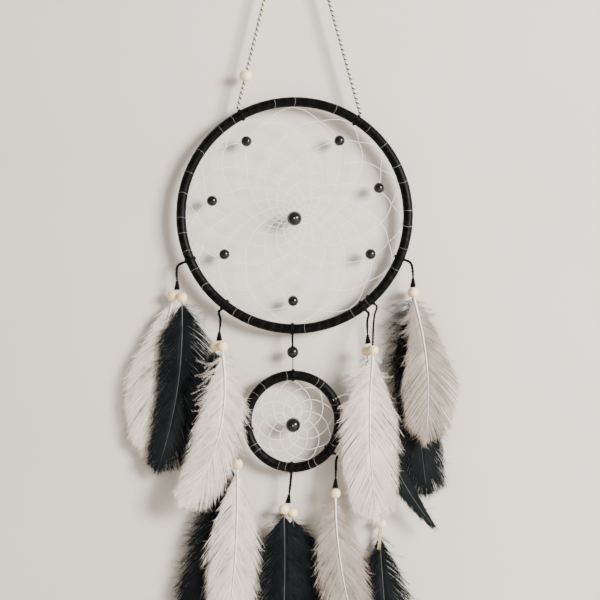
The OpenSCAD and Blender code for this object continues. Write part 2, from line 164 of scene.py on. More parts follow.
finishes = {
    "white_barb": make_finish(
        "white_barb", (0.34, 0.28, 0.225), (0.87, 0.775, 0.68), 60, 0.62, 0.1, attribute="tint",
        Specular_IOR_Level=0.25),
    "grey_barb": make_finish(
        "grey_barb", (0.15, 0.12, 0.095), (0.44, 0.375, 0.315), 60, 0.62, 0.1, attribute="tint",
        Specular_IOR_Level=0.25),
    "white_shaft": make_finish(
        "white_shaft", (0.86, 0.80, 0.72), (0.97, 0.93, 0.87), 120, 0.38, 0.15,
        Specular_IOR_Level=0.5),
    "black_barb": make_finish(
        "black_barb", (0.001, 0.0015, 0.0018), (0.006, 0.009, 0.0105), 60, 0.6, 0.1, attribute="tint",
        Specular_IOR_Level=0.12),
    "black_shaft": make_finish(
        "black_shaft", (0.03, 0.032, 0.033), (0.10, 0.10, 0.098), 120, 0.35, 0.15),
    "pale_wood": make_finish(
        "pale_wood", (0.90, 0.62, 0.33), (1.0, 0.84, 0.54), 160, 0.42, 0.3, stretch=(3, 3, 0.5),
        Coat_Weight=0.25, Coat_Roughness=0.2),
    "polished_black": make_finish(
        "polished_black", (0.002, 0.002, 0.002), (0.006, 0.006, 0.006), 90, 0.16, 0.02,
        Specular_IOR_Level=0.35, Coat_Weight=0.15, Coat_Roughness=0.05),
    "black_lace": make_finish(
        "black_lace", (0.001, 0.001, 0.001), (0.005, 0.005, 0.0045), 220, 0.4, 0.35, attribute="edge",
        Specular_IOR_Level=0.08),
    "pale_thread": make_finish(
        "pale_thread", (0.84, 0.83, 0.80), (1.0, 0.99, 0.97), 500, 0.42, 0.3,
        Specular_IOR_Level=0.6),
    "grey_thread": make_finish(
        "grey_thread", (0.16, 0.15, 0.14), (0.42, 0.39, 0.35), 500, 0.55, 0.4),
    "cream_ply": make_finish(
        "cream_ply", (0.55, 0.47, 0.37), (0.84, 0.78, 0.68), 700, 0.75, 0.7),
    "brown_ply": make_finish(
        "brown_ply", (0.015, 0.011, 0.009), (0.055, 0.04, 0.03), 700, 0.75, 0.7),
    "tan_fibre": make_finish(
        "tan_fibre", (0.42, 0.28, 0.15), (0.80, 0.64, 0.44), 500, 0.8, 0.6),
    "drawn_steel": make_finish(
        "drawn_steel", (0.45, 0.45, 0.46), (0.66, 0.66, 0.67), 300, 0.35, 0.2,
        Metallic=1.0),
}
print("finishes:", len(finishes))

# %% [markdown]
# ## Room
# A wall stands just behind the hoops, so that soft shadows fall on it. The wall and the floor are
# one bent sheet. From behind, the wall has to be clear, so its material turns transparent
# on its back side.

# %% Wall and floor
WALL_Y = 0.0105
FLOOR_Z = -0.64


def make_room():
    bm = bmesh.new()
    bmesh.ops.create_grid(bm, x_segments=2, y_segments=1, size=1.6)
    bmesh.ops.rotate(bm, verts=bm.verts, matrix=Matrix.Rotation(math.radians(90), 3, "X"))
    bmesh.ops.translate(bm, verts=bm.verts, vec=(0, WALL_Y, FLOOR_Z + 1.6))
    foot = [edge for edge in bm.edges if all(abs(vert.co.z - FLOOR_Z) < 1e-5 for vert in edge.verts)]
    pulled = bmesh.ops.extrude_edge_only(bm, edges=foot)["geom"]
    bmesh.ops.translate(
        bm, verts=[part for part in pulled if isinstance(part, bmesh.types.BMVert)], vec=(0, -2.2, 0))
    bmesh.ops.bevel(bm, geom=foot, offset=0.02, segments=8, profile=0.5, material=-1, affect="EDGES")
    bmesh.ops.recalc_face_normals(bm, faces=bm.faces)
    for face in bm.faces:
        face.smooth = True
    if sum(face.normal.y for face in bm.faces) > 0:
        bmesh.ops.reverse_faces(bm, faces=bm.faces)
    mesh = bpy.data.meshes.new("room")
    bm.to_mesh(mesh)
    bm.free()
    return mesh


def make_plaster():
    plaster = make_finish(
        "plaster", (0.67, 0.63, 0.57), (0.715, 0.675, 0.615), 6, 0.9, 0.05, Specular_IOR_Level=0.1)
    tree = plaster.node_tree
    side = tree.nodes.new("ShaderNodeNewGeometry")
    clear = tree.nodes.new("ShaderNodeBsdfTransparent")
    switch = tree.nodes.new("ShaderNodeMixShader")
    tree.links.new(side.outputs["Backfacing"], switch.inputs[0])
    tree.links.new(tree.nodes["Principled BSDF"].outputs[0], switch.inputs[1])
    tree.links.new(clear.outputs[0], switch.inputs[2])
    tree.links.new(switch.outputs[0], tree.nodes["Material Output"].inputs[0])
    return plaster


room = bpy.data.objects.new("room", make_room())
room.data.materials.append(make_plaster())
bpy.context.scene.collection.objects.link(room)
print("room faces:", len(room.data.polygons))

# %% [markdown]
# The light is one large window on the right, a little above, with a pale sky all round. The
# window's size sets how soft the shadows are, and the sky sets how deep they are.

# %% Light
def add_window(name, place, aim, size, power):
    data = bpy.data.lights.new(name, "AREA")
    data.size = size
    data.energy = power
    data.color = (1.0, 0.985, 0.965)
    lamp = bpy.data.objects.new(name, data)
    lamp.location = place
    lamp.rotation_euler = (Vector(aim) - Vector(place)).to_track_quat("-Z", "Y").to_euler()
    bpy.context.scene.collection.objects.link(lamp)


add_window("window", (1.35, -1.25, 0.15), (0, 0, -0.3), 0.6, 92)
sky = bpy.data.worlds.new("sky")
sky.use_nodes = True
sky.node_tree.nodes["Background"].inputs[0].default_value = (1.0, 0.97, 0.935, 1)
sky.node_tree.nodes["Background"].inputs[1].default_value = 0.5
bpy.context.scene.world = sky
print("window and sky are lit")

# %% [markdown]
# ## Two ways to make a piece
# Round things that turn about an axis are spun with bmesh. Long thin things, which are cords,
# threads and barbs, are curves with a round bevel that are turned into a mesh at the end.
# Both kinds end in one helper that puts the piece on its body and hides the CAD node it stands for.

# %% Put a finished mesh in place
def place_piece(name, mesh, finish_names, body, slot, *nodes):
    for finish_name in finish_names:
        mesh.materials.append(finishes[finish_name])
    thing = bpy.data.objects.new(name, mesh)
    bpy.context.scene.collection.objects.link(thing)
    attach(thing, body)
    if nodes:
        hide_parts(*nodes)
    return thing


# %% Tubes from lines of points
def close_ends(line, pointed):
    """The line with a hair's breadth more at its start, and at its end unless that is pointed."""
    first = line[0] - 0.01 * MM * (line[1] - line[0]) / np.linalg.norm(line[1] - line[0])
    last = line[-1] + 0.01 * MM * (line[-1] - line[-2]) / np.linalg.norm(line[-1] - line[-2])
    return np.vstack([first, line] if pointed else [first, line, last])


def make_tubes(lines, radii, corners=4, closed=False, pointed=False):
    """One mesh of tapered tubes. Points are in metres and radii in millimetres."""
    if not closed:
        lines = [close_ends(line, pointed) for line in lines]
        radii = [np.concatenate([[0], radius[:-1] if pointed else radius, [0]]) for radius in radii]
    data = bpy.data.curves.new("lines", "CURVE")
    data.dimensions = "3D"
    data.bevel_depth = MM
    data.bevel_resolution = corners // 2 - 2
    for line, radius in zip(lines, radii):
        spline = data.splines.new("POLY")
        spline.points.add(len(line) - 1)
        four = np.ones((len(line), 4), np.float32)
        four[:, :3] = line
        spline.points.foreach_set("co", four.ravel())
        spline.points.foreach_set("radius", np.ascontiguousarray(radius, np.float32))
        spline.use_cyclic_u = closed
        spline.use_smooth = True
    holder = bpy.data.objects.new("lines", data)
    bpy.context.scene.collection.objects.link(holder)
    depsgraph = bpy.context.evaluated_depsgraph_get()
    mesh = bpy.data.meshes.new_from_object(holder.evaluated_get(depsgraph))
    bpy.data.objects.remove(holder)
    mesh.materials.clear()
    return mesh


# %% [markdown]
# An open tube starts and ends in a ring of no size, so once the doubled points are merged it is a
# closed shape. Merging comes last, when every point has its attribute.

# %% Several meshes as one, each with its own finish
def give_attribute(mesh, name, values):
    layer = mesh.attributes.new(name, "FLOAT", "POINT")
    layer.data.foreach_set("value", np.ascontiguousarray(values, np.float32))


def merge_doubles(mesh):
    bm = bmesh.new()
    bm.from_mesh(mesh)
    bmesh.ops.remove_doubles(bm, verts=bm.verts, dist=1e-7)
    bmesh.ops.recalc_face_normals(bm, faces=bm.faces)
    bm.to_mesh(mesh)
    bm.free()


def join_meshes(name, meshes, edge=None, tint=None):
    bm = bmesh.new()
    counts = []
    for mesh in meshes:
        bm.from_mesh(mesh)
        counts.append(len(mesh.polygons))
        bpy.data.meshes.remove(mesh)
    joined = bpy.data.meshes.new(name)
    bm.to_mesh(joined)
    bm.free()
    joined.polygons.foreach_set("material_index", np.repeat(np.arange(len(counts)), counts))
    joined.polygons.foreach_set("use_smooth", np.ones(sum(counts), bool))
    if edge is not None:
        give_attribute(joined, "edge", np.full(len(joined.vertices), edge))
    if tint is not None:
        give_attribute(joined, "tint", tint)
    merge_doubles(joined)
    return joined


# %% [markdown]
# A cord's few given points become a smooth, evenly stepped line. A Catmull-Rom curve passes
# through every point, which a Bezier cage does not, so the cord stays on its route.

# %% Smooth line through a route
def smooth_line(route, step):
    points = np.array(route, float)
    ends = np.vstack([2 * points[0] - points[1], points, 2 * points[-1] - points[-2]])
    fine = []
    for a, b, c, d in zip(ends, ends[1:], ends[2:], ends[3:]):
        for t in np.linspace(0, 1, 40, endpoint=False):
            fine.append(0.5 * (2 * b + (c - a) * t + (2 * a - 5 * b + 4 * c - d) * t * t
                               + (3 * b - a - 3 * c + d) * t ** 3))
    fine = np.array(fine + [points[-1]])
    along = np.concatenate([[0], np.cumsum(np.linalg.norm(np.diff(fine, axis=0), axis=1))])
    wanted = np.linspace(0, along[-1], max(2, int(round(along[-1] / step)) + 1))
    return np.column_stack([np.interp(wanted, along, fine[:, axis]) for axis in range(3)])


def line_length(line):
    return float(np.linalg.norm(np.diff(line, axis=0), axis=1).sum())


# %% [markdown]
# Twisted cord is plies that run round one centre line. Each ply is a helix: at every step we
# stand square to the line and turn a little further. The line lies close to the plane of the
# hoops, so the Y axis is always a good side direction.

# %% Plies round a centre line
def wind(line, reach, turns, start_angle):
    travel = np.gradient(line, axis=0)
    travel /= np.linalg.norm(travel, axis=1)[:, None]
    side = np.cross(travel, (0, 1, 0))
    side /= np.linalg.norm(side, axis=1)[:, None]
    front = np.cross(side, travel)
    angle = start_angle + np.linspace(0, 2 * math.pi * turns, len(line))
    reach = np.broadcast_to(reach, len(line))
    return line + reach[:, None] * (np.cos(angle)[:, None] * side + np.sin(angle)[:, None] * front)


def make_twist(line, ply_radius, reach, pitch, plies, corners=6):
    """A mesh for each ply of a twisted cord. Lengths are in millimetres."""
    turns = line_length(line) / (pitch * MM)
    return [
        make_tubes([wind(line, reach * MM, turns, 2 * math.pi * k / plies)],
                   [np.full(len(line), ply_radius)], corners)
        for k in range(plies)
    ]


# %% [markdown]
# ## Hanging cord
# The hanging cord is cotton: two cream plies and one dark one, laid up like a rope. It rises from the
# left of the large hoop, goes over the nail and comes down to the right of the hoop, so it is
# pulled taut by the weight. Above the knot its two strands form the little loop for the nail.

# %% Hoop sizes, read from the frame
large_low, large_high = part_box("large_hoop_lace")
small_low, small_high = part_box("small_hoop_lace")
large_centre = (large_low + large_high) / 2
small_centre = (small_low + small_high) / 2
tube_r = (large_high.y - large_low.y) / 2
large_r = (large_high.x - large_low.x) / 2 - tube_r
small_r = (small_high.x - small_low.x) / 2 - tube_r
print("hoops:", round(large_r / MM, 2), round(small_r / MM, 2), "tube:", round(tube_r / MM, 2))


def on_ring(centre, radius, angle, y=0.0):
    turn = math.radians(angle)
    return np.array([centre.x + radius * math.cos(turn), y, centre.z + radius * math.sin(turn)])


# %% Hanging cord
HANGER_D = 2.4
hanger_end_r = large_r + tube_r + (0.45 + HANGER_D / 2) * MM
hanger_left = on_ring(large_centre, hanger_end_r, 118)
hanger_right = on_ring(large_centre, hanger_end_r, 57)
nail_loop = np.array([
    [-4, 0, -24], [-2.2, 0, -19], [-1.4, 0, -15], [-1.5, 0, -11], [-2.4, 0, -6], [-2.6, 0, -3],
    [-1.9, 0, -0.6], [0, 0, 1.2], [1.9, 0, -0.6], [2.6, 0, -3], [2.4, 0, -6], [1.5, 0, -11],
    [1.4, 0, -15], [2.4, 0, -19], [4.4, 0, -24]]) * MM
left_run = [hanger_left + (nail_loop[0] - hanger_left) * share for share in np.linspace(0, 1, 6)[:-1]]
right_run = [nail_loop[-1] + (hanger_right - nail_loop[-1]) * share for share in np.linspace(0, 1, 6)[1:]]
hanger_line = smooth_line(np.vstack([left_run, nail_loop, right_run]), 0.34 * MM)
hanger = place_piece(
    "hanging_cord", join_meshes("hanging_cord", make_twist(hanger_line, 0.56, 0.66, 3.4, 3)),
    ["cream_ply", "cream_ply", "brown_ply"], "large_hoop", "hanging_cord", "hanger_cord")
print("hanging cord:", round(line_length(hanger_line), 4), "m")

# %% [markdown]
# The knot is the same cord passed round itself. Three fat turns of the same plies, wound tight
# round the two strands, read as an overhand knot.

# %% Knot of the hanging cord
knot_low, knot_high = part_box("hanger_knot")
knot_centre = np.array((knot_low + knot_high) / 2)
knot_turn = np.linspace(0, 2 * math.pi * 2.6, 110)
knot_line = knot_centre + MM * np.column_stack([
    2.7 * np.cos(knot_turn),
    2.5 * np.sin(knot_turn),
    np.linspace(2.3, -2.3, 110) + 0.5 * np.sin(2 * knot_turn)])
knot_plies = [
    make_tubes([wind(knot_line, 0.62 * MM, 12, 2 * math.pi * k / 3)], [np.full(110, 0.56)], 6)
    for k in range(3)
]
hanger_knot = place_piece(
    "hanging_knot", join_meshes("hanging_knot", knot_plies), ["cream_ply", "cream_ply", "brown_ply"],
    "large_hoop", "hanging_cord", "hanger_knot")

# %% [markdown]
# ## Beads
# A bead is a disc with a hole, spun round its bore. We take a circle, push everything nearer the
# axis than the bore out to the bore's wall, cut the ends flat for a wooden bead, and spin that
# outline once round. The sharp rims of the bore are then bevelled.

# %% Spin one bead
def spin_bead(bm, place, axis, radius, half_length, bore, segments=28):
    profile = bmesh.ops.create_circle(bm, segments=24, radius=radius)["verts"]
    for vert in profile:
        vert.co.x = max(vert.co.x, bore)
        vert.co.y = max(-half_length, min(half_length, vert.co.y))
    bmesh.ops.remove_doubles(bm, verts=profile, dist=1e-6)
    profile = [vert for vert in profile if vert.is_valid]
    edges = list({edge for vert in profile for edge in vert.link_edges})
    before = set(bm.verts) - set(profile)
    bmesh.ops.spin(bm, geom=profile + edges, cent=(0, 0, 0), axis=(0, 1, 0), dvec=(0, 0, 0),
                   angle=2 * math.pi, steps=segments, use_merge=True, use_duplicate=False)
    made = [vert for vert in bm.verts if vert not in before]
    bmesh.ops.remove_doubles(bm, verts=made, dist=1e-7)
    made = [vert for vert in bm.verts if vert not in before]
    turn = Vector((0, 1, 0)).rotation_difference(Vector(axis)).to_matrix()
    bmesh.ops.rotate(bm, verts=made, cent=(0, 0, 0), matrix=turn)
    bmesh.ops.translate(bm, verts=made, vec=place)


def finish_beads(name, bm):
    bmesh.ops.recalc_face_normals(bm, faces=bm.faces)
    rims = [edge for edge in bm.edges if edge.is_manifold and edge.calc_face_angle() > math.radians(38)]
    bmesh.ops.bevel(bm, geom=rims, offset=0.12 * MM, segments=2, profile=0.5, material=-1, affect="EDGES")
    for face in bm.faces:
        face.smooth = True
    mesh = bpy.data.meshes.new(name)
    bm.to_mesh(mesh)
    bm.free()
    return mesh


def node_centre(node):
    low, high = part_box(node)
    return (low + high) / 2


def ball_bead(name, node, axis, bore, finish_name, body, slot):
    low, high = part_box(node)
    radius = (high.y - low.y) / 2
    bm = bmesh.new()
    spin_bead(bm, node_centre(node), axis, radius, radius, bore * MM)
    return place_piece(name, finish_beads(name, bm), [finish_name], body, slot, node)


# %% Hanging cord's wooden bead, and the cord's own facts
bead_lean = (nail_loop[0] - hanger_left) / np.linalg.norm(nail_loop[0] - hanger_left)
bead_low, bead_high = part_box("hanger_bead")
bm = bmesh.new()
spin_bead(bm, (bead_low + bead_high) / 2, bead_lean, 4.3 * MM, 3.5 * MM, 1.5 * MM)
hanger_bead = place_piece(
    "hanging_bead", finish_beads("hanging_bead", bm),
    ["pale_wood"], "large_hoop", "cream_wood", "hanger_bead")

# %% [markdown]
# A turn round a hoop's tube is used for hitches, ties and bindings: a circle in the plane that
# cuts the tube, with a slant that shifts it along the hoop as it goes round.

# %% A turn round a tube
def ring_round_tube(centre, ring_r, angle, reach, slant=0.0, count=48):
    """Points of a closed turn round a hoop's tube. slant is in metres along the hoop."""
    line = []
    for turn in np.linspace(0, 2 * math.pi, count, endpoint=False):
        shift = math.degrees(slant * math.sin(turn) / ring_r)
        line.append(on_ring(centre, ring_r + reach * math.cos(turn), angle + shift, reach * math.sin(turn)))
    return np.array(line)


# %% [markdown]
# ## Laced hoops
# A hoop is a steel ring under a flat suede lace, wound round and round so that each turn laps
# the last. We spin the tube's circle round the hoop, then lift every point by where it lies
# between one lap and the next. A saw-tooth lift makes a lapped edge that goes round in a helix.

# %% Wind the lace
def make_laced_hoop(name, centre, ring_r, turns, steps_per_turn, seed):
    rng = random.Random(seed)
    wobble = [(rng.randint(3, 40), rng.uniform(0, 6.28), rng.uniform(0.03, 0.09)) for _ in range(14)]
    bm = bmesh.new()
    circle = bmesh.ops.create_circle(bm, segments=24, radius=tube_r - 0.12 * MM)["verts"]
    bmesh.ops.translate(bm, verts=circle, vec=(ring_r, 0, 0))
    bmesh.ops.spin(bm, geom=list(bm.verts) + list(bm.edges), cent=(0, 0, 0), axis=(0, 1, 0),
                   dvec=(0, 0, 0), angle=2 * math.pi, steps=turns * steps_per_turn,
                   use_merge=True, use_duplicate=False)
    bmesh.ops.remove_doubles(bm, verts=bm.verts, dist=1e-7)
    edge_share = []
    for vert in bm.verts:
        round_hoop = math.atan2(vert.co.z, vert.co.x)
        radial = math.hypot(vert.co.x, vert.co.z) - ring_r
        round_tube = math.atan2(vert.co.y, radial)
        uneven = sum(size * math.sin(count * round_hoop + start) for count, start, size in wobble)
        lap = (turns * round_hoop / (2 * math.pi) + round_tube / (2 * math.pi) + uneven) % 1.0
        lift = 0.11 * MM * (lap ** 1.5) * min(1.0, (1 - lap) * 9)
        out = Vector((math.cos(round_hoop), 0, math.sin(round_hoop)))
        vert.co += lift * (math.cos(round_tube) * out + math.sin(round_tube) * Vector((0, 1, 0)))
        edge_share.append(max(0.0, lap - 0.72) / 0.28)
    bmesh.ops.recalc_face_normals(bm, faces=bm.faces)
    bmesh.ops.translate(bm, verts=bm.verts, vec=centre)
    for face in bm.faces:
        face.smooth = True
    mesh = bpy.data.meshes.new(name)
    bm.to_mesh(mesh)
    bm.free()
    give_attribute(mesh, "edge", edge_share)
    return mesh


large_lace = place_piece(
    "large_hoop_wrap", make_laced_hoop("large_hoop_wrap", large_centre, large_r, 74, 10, 3),
    ["black_lace"], "large_hoop", "black_lace", "large_hoop_lace")
small_lace = place_piece(
    "small_hoop_wrap", make_laced_hoop("small_hoop_wrap", small_centre, small_r, 30, 10, 4),
    ["black_lace"], "small_hoop", "black_lace", "small_hoop_lace")
for node in ("large_hoop_core", "small_hoop_core"):
    frame["nodes"][node].data.materials.clear()
    frame["nodes"][node].data.materials.append(finishes["drawn_steel"])
print("lace faces:", len(large_lace.data.polygons), len(small_lace.data.polygons))

# %% [markdown]
# ## Webs
# The thread is hitched to the hoop at each tie, then to the middle of the row outside it, and so
# on inwards, so each row is knotted half way along the last. Read across the rows, the same
# knots make long arcs that turn both ways. A loose thread bows outwards a little between knots.
# The last row is drawn in to the middle bead, and the bead's weight pulls the rows down with it.

# %% Knots and threads of a web
LARGE_TIES = [18, 38.5, 59, 91, 123, 146.5, 170, 189.5, 209, 239, 269, 301, 333, 355.5]
SMALL_TIES = [13 + 40 * number for number in range(9)]
HUB_R = 4 * MM


def knot(centre, web, row, number):
    ties, rim = web["ties"], web["rim"]
    count = len(ties)
    here = ties[number % count] + 360 * (number // count)
    following = ties[(number + 1) % count] + 360 * ((number + 1) // count)
    angle = here if row % 2 == 0 else (here + following) / 2
    radius = rim * (1 - web["step"] * min(row, 2)) * web["share"] ** max(row - 2, 0)
    if row == web["rows"]:
        radius = HUB_R
    place = np.array(on_ring(centre, radius, angle))
    place[2] -= web["drop"] * (1 - radius / rim)
    return place


def web_threads(centre, web):
    ties, bow = web["ties"], web["bow"]
    lines = []
    middle = np.array(centre)
    for row in range(web["rows"]):
        line = []
        shift = 1 if row % 2 else 0
        for number in range(len(ties)):
            a = knot(centre, web, row, number)
            b = knot(centre, web, row + 1, number)
            c = knot(centre, web, row, number + 1)
            d = knot(centre, web, row + 1, number + shift)
            pairs = ((a, b), (b, c)) if not shift else ((a, d), (d, c))
            for start, end in pairs:
                outward = (start + end) / 2 - middle
                outward /= np.linalg.norm(outward)
                for t in (0, 0.2, 0.4, 0.6, 0.8):
                    swell = bow * np.linalg.norm(end - start) * 4 * t * (1 - t)
                    line.append(start + (end - start) * t + outward * swell)
        line = np.array(line)
        line[:, 1] += (0.25 if row % 2 else -0.25) * MM
        lines.append(line)
    return lines


def make_web(name, centre, thread_r, **web):
    lines = web_threads(centre, web)
    tubes = make_tubes(lines, [np.full(len(line), thread_r) for line in lines], 6, closed=True)
    return join_meshes(name, [tubes])


place_piece(
    "large_web_thread",
    make_web("large_web", large_centre, 0.2, ties=LARGE_TIES, rim=large_r - tube_r - 0.2 * MM,
             step=0.1, share=0.78, rows=11, bow=0.1, drop=2.1 * MM),
    ["pale_thread"], "large_hoop", "web_thread", "large_web")
place_piece(
    "small_web_thread",
    make_web("small_web", small_centre, 0.22, ties=SMALL_TIES, rim=small_r - tube_r - 0.2 * MM,
             step=0.15, share=0.72, rows=5, bow=0.12, drop=2.5 * MM),
    ["pale_thread"], "small_hoop", "web_thread", "small_web")

# %% [markdown]
# Each tie crosses the lace on a slant, because the thread travels along the hoop as it goes round.
# There is a second turn a little further on, where the thread is locked before the next row.

# %% Ties round the hoops
def make_ties(name, centre, ring_r, ties, seed):
    rng = random.Random(seed)
    angles = [angle + turn for angle in ties for turn in (0, rng.uniform(7, 13))]
    lines = [ring_round_tube(centre, ring_r, angle, tube_r + 0.12 * MM, slant=rng.uniform(0.5, 2.2) * MM)
             for angle in angles]
    radii = [np.full(len(line), rng.choice((0.07, 0.09, 0.11))) for line in lines]
    return join_meshes(name, [make_tubes(lines, radii, 6, closed=True)])


place_piece("large_hoop_ties", make_ties("large_ties", large_centre, large_r, LARGE_TIES, 21),
            ["grey_thread"], "large_hoop", "web_thread", "large_web_ties")
place_piece("small_hoop_ties", make_ties("small_ties", small_centre, small_r, SMALL_TIES, 22),
            ["grey_thread"], "small_hoop", "web_thread", "small_web_ties")

# %% Black beads on the webs
for number in range(1, 8):
    node = f"web_bead_{number}"
    spoke = node_centre(node) - large_centre
    ball_bead(f"black_bead_{number}", node, spoke.normalized(), 0.5,
              "polished_black", "large_hoop", "black_bead")
for size in ("large", "small"):
    ball_bead(size + "_middle_bead", size + "_centre_bead", (0, 1, 0), 0.5,
              "polished_black", size + "_hoop", "black_bead")
print("black beads on the webs: 9")

# %% [markdown]
# ## Lace loops
# Every strand hangs from a lace that is hitched round the tube, and two more hitches bind the
# ends of the hanging cord. A hitch is two close turns of narrow lace, tight against the hoop.

# %% Hitches round the tubes
LARGE_STRANDS = {"outer_left": 203, "inner_left": 232, "link": 269, "inner_right": 307,
                 "long_right": 312, "outer_right": 338}
SMALL_STRANDS = {"link": 90, "small_left": 190, "small_bottom": 268, "small_right": 322}


def make_hitches(name, centre, ring_r, angles):
    lines = []
    for angle in angles:
        for offset in (-0.5, 0.5):
            lines.append(ring_round_tube(centre, ring_r, angle + math.degrees(offset * MM / ring_r),
                                         tube_r + 0.35 * MM, slant=0.4 * MM, count=40))
    tubes = make_tubes(lines, [np.full(len(line), 0.5) for line in lines], 8, closed=True)
    return join_meshes(name, [tubes], edge=0.3)


large_angles = [*LARGE_STRANDS.values(), 118, 57]
place_piece("large_hitches", make_hitches("large_hitches", large_centre, large_r, large_angles),
            ["black_lace"], "large_hoop", "black_lace", "large_lace_loops")
place_piece("small_hitches", make_hitches("small_hitches", small_centre, small_r, SMALL_STRANDS.values()),
            ["black_lace"], "small_hoop", "black_lace", "small_lace_loops")

# %% [markdown]
# ## Strands
# A strand is a black lace, twisted from two plies, that ends in a wound knot over its beads. All
# its places are given from the point where it starts, which is its joint in the frame.

# %% Places on a strand
def start_of(strand):
    return np.array(joints[strand + "_swing"]["pos_m"], float)


def inside_hitch(strand):
    """A point on the hoop's rim, from which the strand's lace comes out of its hitch."""
    centre = np.array(small_centre if strand.startswith("small_") else large_centre)
    inwards = centre - start_of(strand)
    return start_of(strand) + inwards * (2.9 * MM / np.linalg.norm(inwards))


def from_start(strand, x, y, z):
    start = start_of(strand)
    return np.array([start[0] + x * MM, y * MM, start[2] + z * MM])


def box_bead(node, x_side, y_side, z_side, radius, half_length):
    """Centre of one bead of a pair, found from the corner of the pair's box that it touches."""
    low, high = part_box(node)
    x = low.x + radius if x_side < 0 else high.x - radius
    y = low.y + radius if y_side < 0 else high.y - radius
    z = low.z + half_length if z_side < 0 else high.z - half_length
    return np.array([x, y, z])


# %% Lace with a wound knot at its end
def make_knotted_lace(name, route, knot_length):
    line = smooth_line(route, 0.35 * MM)
    count = len(line)
    thin = np.interp(np.linspace(0, 1, count), [0, 0.5, 0.75, 1], [1.2, 1.15, 0.7, 0.6])
    turns = line_length(line) / (4.2 * MM)
    plies = [
        make_tubes([wind(line, 0.38 * MM * thin, turns, math.pi * k)], [0.5 * thin], 6) for k in range(2)
    ]
    foot = line[-1]
    rise = line[-1] - line[-2]
    rise /= np.linalg.norm(rise)
    top = foot - rise * knot_length * MM
    core = np.linspace(top, foot, 90)
    cone = np.linspace(0.5, 1.6, 90) * MM
    plies.append(make_tubes([wind(core, cone, 5.5, 0)], [np.full(90, 0.55)], 6))
    plies.append(make_tubes([np.linspace(top, foot, 6)], [np.linspace(0.5, 1.7, 6)], 8))
    return join_meshes(name, plies, edge=0.25)


STRAND_ROUTES = {
    "outer_left": [(-2.5, 0.4, -2), (-3.1, 0.8, -7), (-2.8, 1.2, -12), (-2.8, 1.3, -17.5)],
    "inner_left": [(1.2, -2, -4), (1.2, -4.5, -9), (0.8, -6.6, -14), (0.8, -7.4, -18.5)],
    "inner_right": [(-1, -2, -4.1), (-1.2, -5, -10.1), (-1, -7.6, -16), (-0.8, -8, -19.6)],
    "outer_right": [(1.7, -0.6, -1.9), (2.5, -1.2, -5.9), (2.7, -1.8, -10.4), (2.6, -2.6, -17)],
    "small_left": [(-0.6, -0.8, -4.5), (-0.8, -2, -10), (-0.9, -3.2, -14.5), (-0.8, -3.8, -18)],
    "small_bottom": [(-0.5, 0.2, -4.9), (-1.1, 0.2, -9.9), (-1.6, 0.2, -14), (-2, 0.2, -17.5)],
    "small_right": [(-0.7, -1.2, -4.3), (-0.9, -3.6, -10.3), (-1.1, -6.1, -16.3), (-1.2, -6.1, -20.8)],
}
for strand, steps in STRAND_ROUTES.items():
    route = [inside_hitch(strand), start_of(strand)] + [from_start(strand, *step) for step in steps]
    mesh = make_knotted_lace(strand + "_lace", route, 5.5)
    place_piece(strand + "_lace", mesh, ["black_lace"] * 4, strand, "black_lace", strand + "_cord")
print("strands with a knotted lace:", len(STRAND_ROUTES))

# %% [markdown]
# The long right strand hangs behind its neighbour on a longer lace.

# %% Long lace
LONG_ROUTE = [(-1.6, 1.2, -5.7), (-2.3, 2.8, -13.7), (-2.6, 3.8, -25.7), (-2.4, 4.2, -41.7),
              (-1.6, 4.2, -61.7), (-0.4, 4.2, -81.7), (0.8, 4.2, -101.7), (2, 4.2, -121.7),
              (2.6, 4.2, -133.7), (2.8, 4.2, -143)]
long_route = [inside_hitch("long_right"), start_of("long_right")]
long_route += [from_start("long_right", *step) for step in LONG_ROUTE]
long_line = smooth_line(long_route, 0.5 * MM)
long_mesh = join_meshes("long_lace", make_twist(long_line, 0.45, 0.4, 4.2, 2), edge=0.25)
long_lace = place_piece(
    "long_right_lace", long_mesh, ["black_lace"] * 2, "long_right", "black_lace", "long_right_cord")
print("long lace:", round(line_length(long_line), 4), "m")

# %% Wooden beads on the strands
WOOD_R = 3.6 * MM
WOOD_HALF = 0.45 * 7.2 * MM
WOOD_PAIRS = {  # which corner of the pair's box each bead touches: first the front or white one
    "outer_left": ((-1, 1, 1), (1, -1, -1)),
    "inner_left": ((1, -1, 1), (-1, 1, 1)),
    "inner_right": ((1, -1, 1), (-1, 1, -1)),
    "outer_right": ((1, -1, 1), (-1, 1, 1)),
    "small_left": ((1, -1, 1), (-1, 1, 1)),
    "small_bottom": ((-1, -1, 1), (1, 1, -1)),
}
bead_places = {}
for strand, sides in WOOD_PAIRS.items():
    node = strand + "_beads"
    bm = bmesh.new()
    for part, side in zip(("first", "second"), sides):
        bead_places[strand, part] = box_bead(node, *side, WOOD_R, WOOD_HALF)
        spin_bead(bm, bead_places[strand, part], (0, 0, 1), WOOD_R, WOOD_HALF, 1.1 * MM)
    place_piece(strand + "_wood_beads", finish_beads(node, bm), ["pale_wood"], strand, "cream_wood", node)
for strand in ("long_right", "small_right"):
    node = strand + "_bead"
    bead_places[strand, "first"] = np.array(node_centre(node))
    bm = bmesh.new()
    spin_bead(bm, node_centre(node), (0, 0, 1), WOOD_R, WOOD_HALF, 1.1 * MM)
    place_piece(strand + "_wood_bead", finish_beads(node, bm), ["pale_wood"], strand, "cream_wood", node)
print("wooden beads on the strands:", len(bead_places))

# %% [markdown]
# The long strand's bead is followed by a stub of cord that has come undone: a bundle of fibres,
# close together under the bead and spread at the end.

